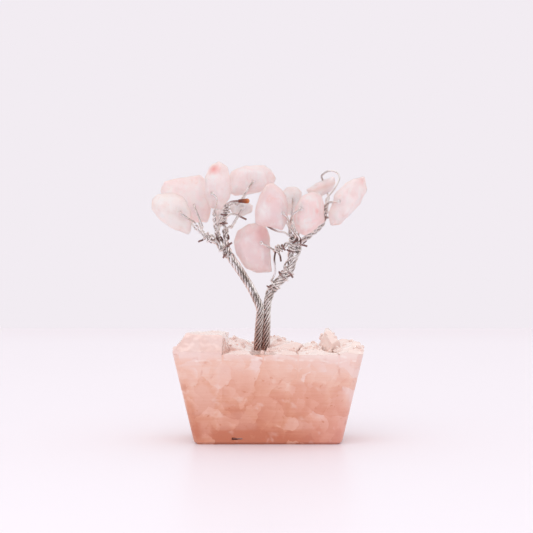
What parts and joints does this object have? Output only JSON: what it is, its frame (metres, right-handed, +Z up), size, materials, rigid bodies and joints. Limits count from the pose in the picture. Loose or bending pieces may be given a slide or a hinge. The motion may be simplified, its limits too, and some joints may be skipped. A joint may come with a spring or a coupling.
{
  "type": "gemstone tree ornament",
  "caption": "Miniature tree of twisted silver-coloured wire with drilled rose-quartz chips on its twigs, set in a drafted block of clear resin packed with quartz chips.",
  "frame": {"origin": "middle of the block's flat underside", "axes": "+X to the viewer's right, +Y to the back, +Z up"},
  "size_m": [0.0463, 0.0261, 0.0603],
  "materials": {
    "clear_resin": "clear cast resin, warm tint, glossy",
    "packed_quartz": "rose-quartz chips seen through resin",
    "crown_quartz": "broken rose quartz, wet gloss",
    "tumbled_quartz": "tumbled rose quartz, milky, waxy gloss",
    "silver_wire": "silver-plated craft wire",
    "amber_resin": "hardened amber-brown drop, glossy"
  },
  "bodies": {
    "tree": {"amber_drop": "amber_resin", "crown_chip_01": "crown_quartz", "crown_chip_02": "crown_quartz", "crown_chip_03": "crown_quartz", "crown_chip_04": "crown_quartz", "crown_chip_05": "crown_quartz", "crown_chip_06": "crown_quartz", "crown_chip_07": "crown_quartz", "crown_chip_08": "crown_quartz", "crown_chip_09": "crown_quartz", "crown_chip_10": "crown_quartz", "crown_chip_11": "crown_quartz", "crown_chip_12": "crown_quartz", "crown_chip_13": "crown_quartz", "crown_chip_14": "crown_quartz", "crown_chip_15": "crown_quartz", "crown_chip_16": "crown_quartz", "packed_chips_lower": "packed_quartz", "packed_chips_middle": "packed_quartz", "packed_chips_upper": "packed_quartz", "resin_casting": "clear_resin", "tie_left_fork": "silver_wire", "tie_right_high": "silver_wire", "tie_right_low": "silver_wire", "tie_stem_f": "silver_wire", "tie_stem_j": "silver_wire", "tie_twig_a": "silver_wire", "tie_twig_d": "silver_wire", "tie_twig_e": "silver_wire", "tie_twig_h": "silver_wire", "tie_twig_j": "silver_wire", "wire_a": "silver_wire", "wire_b": "silver_wire", "wire_c": "silver_wire", "wire_d": "silver_wire", "wire_e": "silver_wire", "wire_f": "silver_wire", "wire_g": "silver_wire", "wire_h": "silver_wire", "wire_i": "silver_wire", "wire_j": "silver_wire", "wire_k": "silver_wire", "wire_l": "silver_wire"},
    "stone_a": {"stone_a": "tumbled_quartz"},
    "stone_b": {"stone_b": "tumbled_quartz"},
    "stone_c": {"stone_c": "tumbled_quartz"},
    "stone_d": {"stone_d": "tumbled_quartz"},
    "stone_e": {"stone_e": "tumbled_quartz"},
    "stone_f": {"stone_f": "tumbled_quartz"},
    "stone_g": {"stone_g": "tumbled_quartz"},
    "stone_h": {"stone_h": "tumbled_quartz"},
    "stone_i": {"stone_i": "tumbled_quartz"},
    "stone_j": {"stone_j": "tumbled_quartz"},
    "stone_k": {"stone_k": "tumbled_quartz"},
    "stone_l": {"stone_l": "tumbled_quartz"}
  },
  "joints": [
    {"name": "rock_a", "type": "hinge", "parent": "tree", "child": "stone_a", "pos_m": [-0.0187, -0.00408, 0.0493], "axis": [0, 1, 0], "range_deg": [-8, 8]},
    {"name": "rock_b", "type": "hinge", "parent": "tree", "child": "stone_b", "pos_m": [-0.0161, 0.00413, 0.051], "axis": [0, 1, 0], "range_deg": [-8, 8]},
    {"name": "rock_c", "type": "hinge", "parent": "tree", "child": "stone_c", "pos_m": [-0.012, -0.00287, 0.0535], "axis": [0, 1, 0], "range_deg": [-8, 8]},
    {"name": "rock_d", "type": "hinge", "parent": "tree", "child": "stone_d", "pos_m": [-0.0033, 0.00366, 0.0562], "axis": [0, 1, 0], "range_deg": [-8, 8]},
    {"name": "rock_e", "type": "hinge", "parent": "tree", "child": "stone_e", "pos_m": [-0.0055, 0.00358, 0.0505], "axis": [0, 1, 0], "range_deg": [-8, 8]},
    {"name": "rock_f", "type": "hinge", "parent": "tree", "child": "stone_f", "pos_m": [0.0032, -0.00408, 0.0492], "axis": [0, 1, 0], "range_deg": [-8, 8]},
    {"name": "rock_g", "type": "hinge", "parent": "tree", "child": "stone_g", "pos_m": [0.0071, -0.00384, 0.0502], "axis": [0, 1, 0], "range_deg": [-8, 8]},
    {"name": "rock_h", "type": "hinge", "parent": "tree", "child": "stone_h", "pos_m": [0.0125, 0.0036, 0.0551], "axis": [-0.3312, 0, 0.9435], "range_deg": [-8, 8]},
    {"name": "rock_i", "type": "hinge", "parent": "tree", "child": "stone_i", "pos_m": [0.0153, -0.00195, 0.0517], "axis": [0, 1, 0], "range_deg": [-8, 8]},
    {"name": "rock_j", "type": "hinge", "parent": "tree", "child": "stone_j", "pos_m": [-0.0015, 0.00128, 0.0428], "axis": [0, 1, 0], "range_deg": [-8, 8]},
    {"name": "rock_k", "type": "hinge", "parent": "tree", "child": "stone_k", "pos_m": [-0.0104, 0.0046, 0.0485], "axis": [0, 1, 0], "range_deg": [-8, 8]},
    {"name": "rock_l", "type": "hinge", "parent": "tree", "child": "stone_l", "pos_m": [0.0054, 0.0036, 0.0523], "axis": [0, 1, 0], "range_deg": [-8, 8]}
  ]
}
